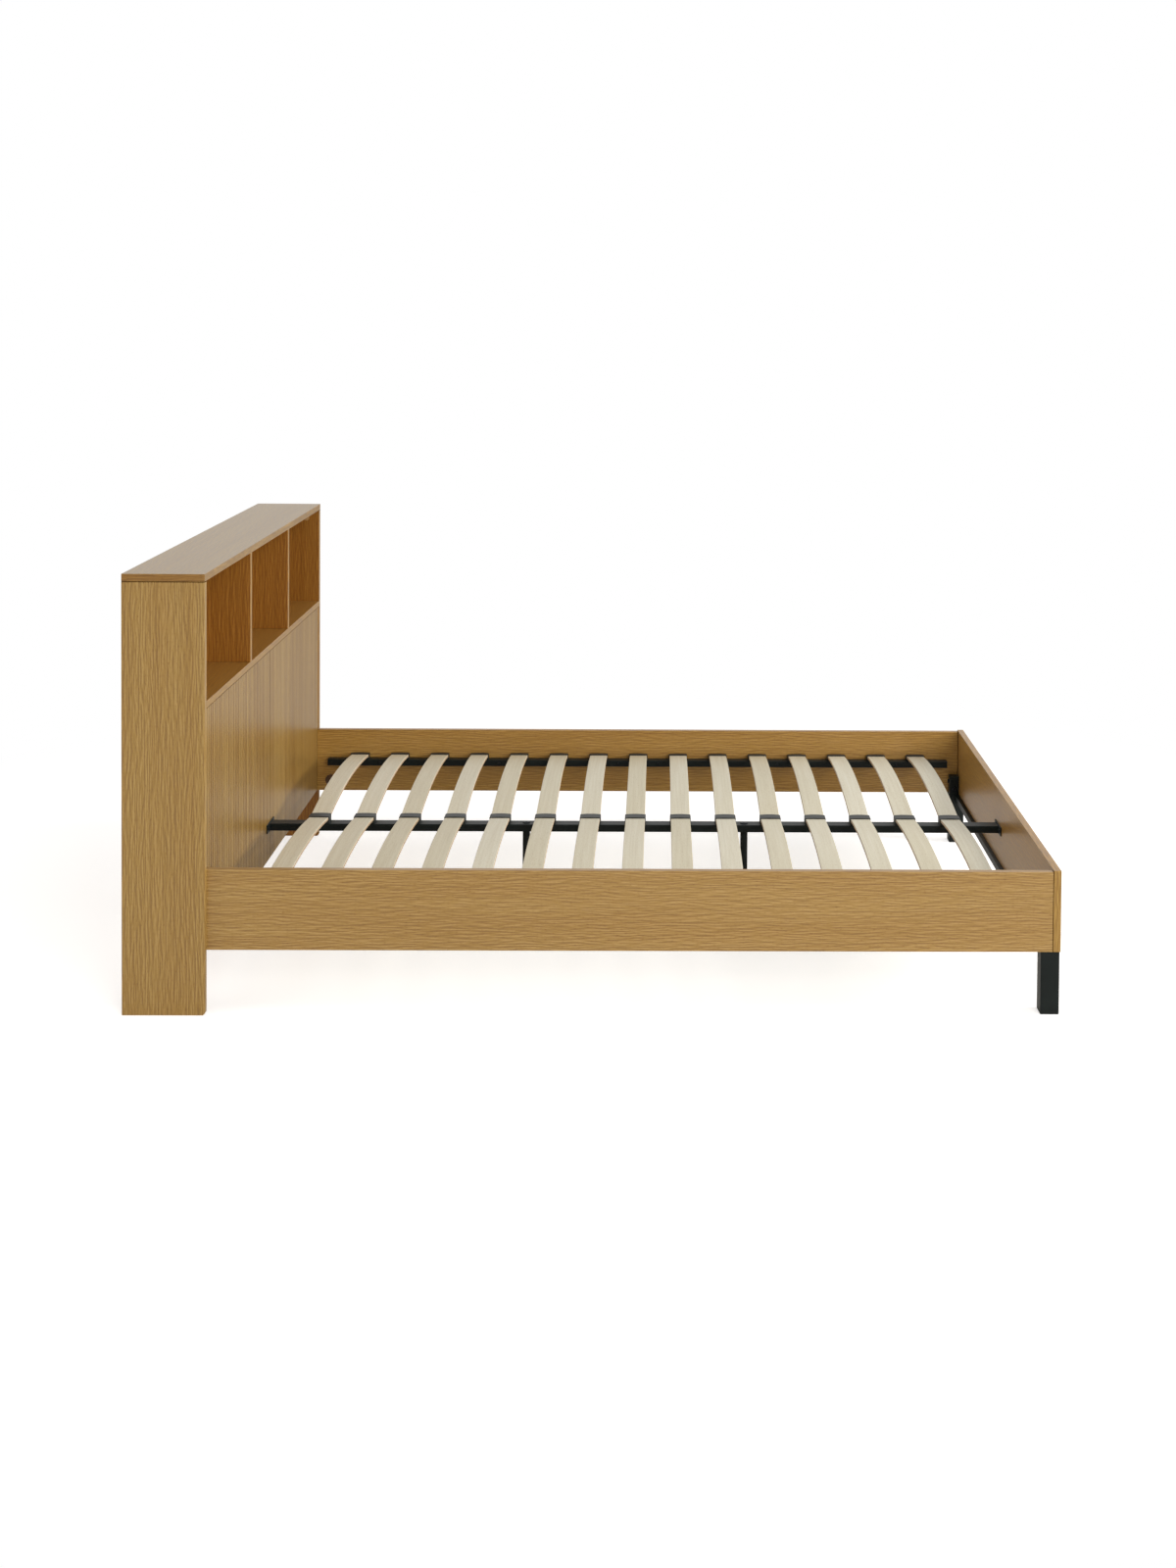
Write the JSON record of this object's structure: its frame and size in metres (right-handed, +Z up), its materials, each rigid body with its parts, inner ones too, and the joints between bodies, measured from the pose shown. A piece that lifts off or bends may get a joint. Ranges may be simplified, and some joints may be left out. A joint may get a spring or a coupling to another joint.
{
  "type": "bookcase headboard bed",
  "caption": "Low platform bed with a grooved headboard that holds open book cubbies, side rails, sprung slats on steel bearers, support legs and a steel foot frame.",
  "frame": {"origin": "on the floor, in the middle of the bed's length and width", "axes": "+X from the headboard towards the footboard, +Y towards the right side as seen from the foot, +Z up"},
  "size_m": [2.221, 1.482, 1.045],
  "materials": {
    "oak_foil": "matt oak-effect foil on particle board",
    "birch_slat": "bare birch plywood, sealed",
    "black_steel": "black powder coat",
    "dark_plastic": "dark moulded plastic",
    "zinc": "zinc-plated steel",
    "dark_bolt": "blackened steel"
  },
  "bodies": {
    "bed_frame": {"gable_left": "oak_foil", "gable_right": "oak_foil", "headboard_top": "oak_foil", "headboard_shelf": "oak_foil", "divider_left": "oak_foil", "divider_right": "oak_foil", "back_panel": "oak_foil", "headboard_base": "oak_foil", "centre_stile": "oak_foil", "fluted_panel_left": "oak_foil", "fluted_panel_right": "oak_foil", "side_rail_left": "oak_foil", "side_rail_right": "oak_foil", "footboard": "oak_foil", "foot_frame": "black_steel", "side_bearer_left": "black_steel", "side_bearer_right": "black_steel", "centre_rail": "black_steel", "support_leg_head": "black_steel", "support_leg_foot": "black_steel", "leg_plugs": "dark_plastic", "slat_caps_left": "dark_plastic", "slat_caps_right": "dark_plastic", "slat_caps_centre": "dark_plastic", "rail_connectors": "zinc", "cam_fittings": "zinc", "wood_screws": "zinc", "frame_bolts": "dark_bolt", "slat_left_01": "birch_slat", "slat_left_02": "birch_slat", "slat_left_03": "birch_slat", "slat_left_04": "birch_slat", "slat_left_05": "birch_slat", "slat_left_06": "birch_slat", "slat_left_07": "birch_slat", "slat_left_08": "birch_slat", "slat_left_09": "birch_slat", "slat_left_10": "birch_slat", "slat_left_11": "birch_slat", "slat_left_12": "birch_slat", "slat_left_13": "birch_slat", "slat_left_14": "birch_slat", "slat_left_15": "birch_slat", "slat_right_01": "birch_slat", "slat_right_02": "birch_slat", "slat_right_03": "birch_slat", "slat_right_04": "birch_slat", "slat_right_05": "birch_slat", "slat_right_06": "birch_slat", "slat_right_07": "birch_slat", "slat_right_08": "birch_slat", "slat_right_09": "birch_slat", "slat_right_10": "birch_slat", "slat_right_11": "birch_slat", "slat_right_12": "birch_slat", "slat_right_13": "birch_slat", "slat_right_14": "birch_slat", "slat_right_15": "birch_slat"},
    "head_screw_foot": {"screw_foot_head": "dark_plastic"},
    "foot_screw_foot": {"screw_foot_foot": "dark_plastic"}
  },
  "joints": [
    {"name": "head_foot_screw", "type": "slide", "parent": "bed_frame", "child": "head_screw_foot", "axis": [0, 0, 1], "range_m": [-0.012, 0.009]},
    {"name": "foot_foot_screw", "type": "slide", "parent": "bed_frame", "child": "foot_screw_foot", "axis": [0, 0, 1], "range_m": [-0.012, 0.009]}
  ]
}
